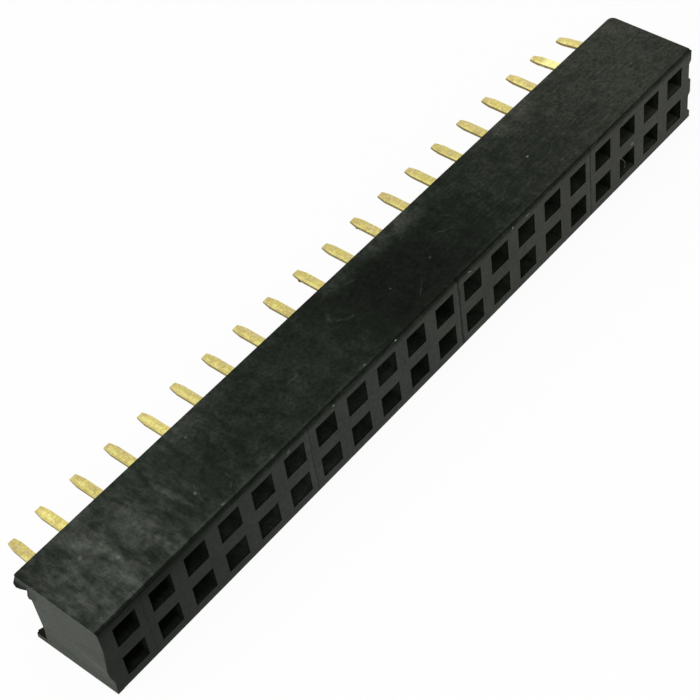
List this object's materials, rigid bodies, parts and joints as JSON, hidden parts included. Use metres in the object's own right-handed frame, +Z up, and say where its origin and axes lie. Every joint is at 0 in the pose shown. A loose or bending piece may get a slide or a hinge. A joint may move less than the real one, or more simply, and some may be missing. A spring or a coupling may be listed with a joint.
{
  "type": "female pin header strip",
  "caption": "Dual-row female pin header strip: a black moulded socket housing with folded twin-leaf contacts and straight flat solder tails, cut from a longer strip.",
  "frame": {"origin": "middle of the long side wall that the strip lies on", "axes": "+X along the strip, -Y out of the mating face, +Y along the solder tails, +Z up from the side wall it lies on to the other side wall"},
  "size_m": [0.041, 0.0071, 0.0042],
  "materials": {
    "housing_plastic": "matte black moulded thermoplastic, scuffed and dusty",
    "contact_metal": "dull thin gold flash over copper alloy"
  },
  "bodies": {
    "root": {"housing": "housing_plastic", "contact_a_01": "contact_metal", "contact_a_02": "contact_metal", "contact_a_03": "contact_metal", "contact_a_04": "contact_metal", "contact_a_05": "contact_metal", "contact_a_06": "contact_metal", "contact_a_07": "contact_metal", "contact_a_08": "contact_metal", "contact_a_09": "contact_metal", "contact_a_10": "contact_metal", "contact_a_11": "contact_metal", "contact_a_12": "contact_metal", "contact_a_13": "contact_metal", "contact_a_14": "contact_metal", "contact_a_15": "contact_metal", "contact_a_16": "contact_metal", "contact_a_17": "contact_metal", "contact_a_18": "contact_metal", "contact_a_19": "contact_metal", "contact_a_20": "contact_metal", "contact_b_01": "contact_metal", "contact_b_02": "contact_metal", "contact_b_03": "contact_metal", "contact_b_04": "contact_metal", "contact_b_05": "contact_metal", "contact_b_06": "contact_metal", "contact_b_07": "contact_metal", "contact_b_08": "contact_metal", "contact_b_09": "contact_metal", "contact_b_10": "contact_metal", "contact_b_11": "contact_metal", "contact_b_12": "contact_metal", "contact_b_13": "contact_metal", "contact_b_14": "contact_metal", "contact_b_15": "contact_metal", "contact_b_16": "contact_metal", "contact_b_17": "contact_metal", "contact_b_18": "contact_metal", "contact_b_19": "contact_metal", "contact_b_20": "contact_metal"}
  },
  "joints": []
}
